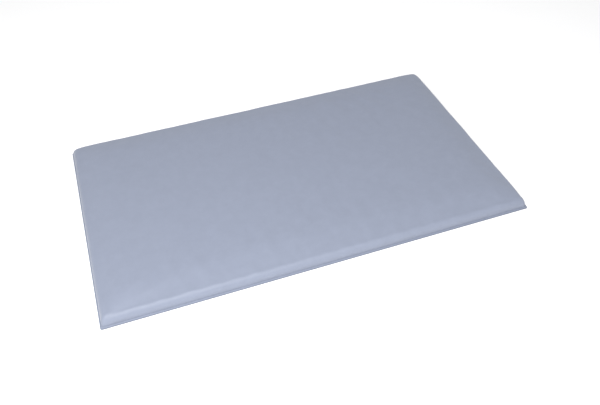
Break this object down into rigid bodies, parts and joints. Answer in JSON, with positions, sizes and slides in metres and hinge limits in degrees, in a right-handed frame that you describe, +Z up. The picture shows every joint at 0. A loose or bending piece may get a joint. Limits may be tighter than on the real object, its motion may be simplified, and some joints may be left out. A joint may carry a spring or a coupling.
{
  "type": "pressure relief mattress",
  "caption": "Thin rectangular pressure relief mattress with a wipe-clean cover welded round its edge, and an assumed zip in its back wall and layered foam core.",
  "frame": {"origin": "middle of the underside", "axes": "+X along the length, +Y across towards the zip, +Z up"},
  "size_m": [0.64, 0.376, 0.02],
  "materials": {
    "cover_top": "satin coated",
    "cover_base": "matte coated",
    "liner": "knitted",
    "comfort_foam": "open-cell foam",
    "support_foam": "open-cell foam",
    "zip_tape": "woven",
    "zip_teeth": "moulded",
    "thread": "twisted",
    "zip_metal": "satin",
    "label": "woven"
  },
  "bodies": {
    "mattress": {"cover_top_sheet": "cover_top", "cover_base_sheet": "cover_base", "inner_liner": "liner", "comfort_foam": "comfort_foam", "support_foam": "support_foam", "zip_tape_upper": "zip_tape", "zip_tape_lower": "zip_tape", "zip_teeth_upper": "zip_teeth", "zip_teeth_lower": "zip_teeth", "zip_top_stops": "zip_teeth", "zip_bottom_stop": "zip_teeth", "zip_stitching_upper": "thread", "zip_stitching_lower": "thread", "care_label": "label"},
    "slider": {"zip_slider_body": "zip_metal"},
    "pull": {"zip_pull_tab": "zip_metal"}
  },
  "joints": [
    {"name": "zip_slide", "type": "slide", "parent": "mattress", "child": "slider", "axis": [-1, 0, 0], "range_m": [0, 0.543], "deforming": ["zip_teeth_upper", "zip_teeth_lower"]},
    {"name": "zip_pull_swing", "type": "hinge", "parent": "slider", "child": "pull", "pos_m": [0.274, 0.1868, 0.0066], "axis": [0, 0, -1], "range_deg": [0, 175]}
  ]
}
